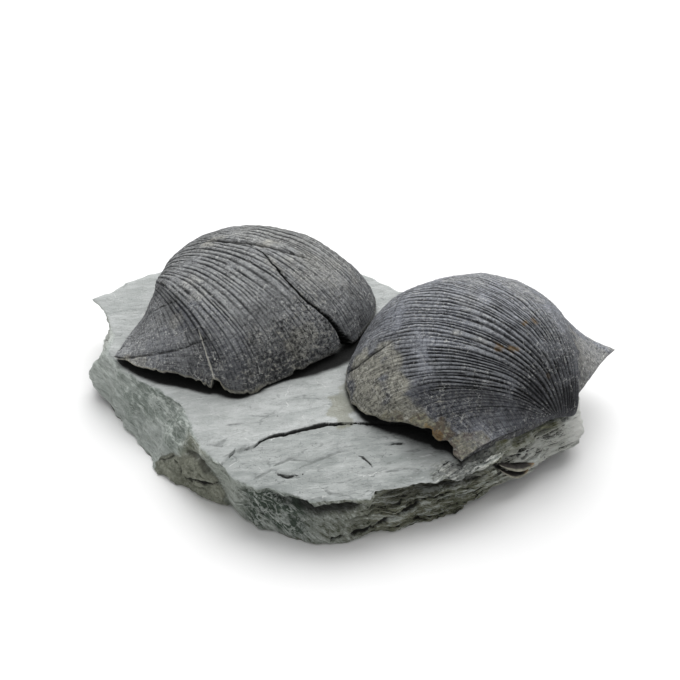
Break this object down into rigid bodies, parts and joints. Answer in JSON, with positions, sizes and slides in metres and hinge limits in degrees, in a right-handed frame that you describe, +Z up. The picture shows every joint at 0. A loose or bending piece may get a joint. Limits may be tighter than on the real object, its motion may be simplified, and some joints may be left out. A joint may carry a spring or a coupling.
{
  "type": "fossil brachiopod specimen",
  "caption": "Slab of grey slate with dark ribbed brachiopod fossils fixed on its upper face, a mineral display piece that rests on its flat bed.",
  "frame": {"origin": "on the flat bed that the block rests on, under the middle of the block", "axes": "+X to the right along the block, +Y to the rear, +Z up"},
  "size_m": [0.1054, 0.0818, 0.0293],
  "materials": {
    "slate": "split stone, matt, pale green grey, bedded at the broken sides",
    "grey_fossil": "ribbed stone, satin on the rib crests, dark grey with pale worn places",
    "dark_fossil": "ribbed stone, satin on the rib crests, blue grey with a brown worn flank",
    "brown_fossil": "broken fossil edge, satin, dark brown"
  },
  "bodies": {
    "root": {"slate_block": "slate", "left_brachiopod": "grey_fossil", "right_brachiopod": "dark_fossil", "embedded_fragment": "brown_fossil"}
  },
  "joints": []
}
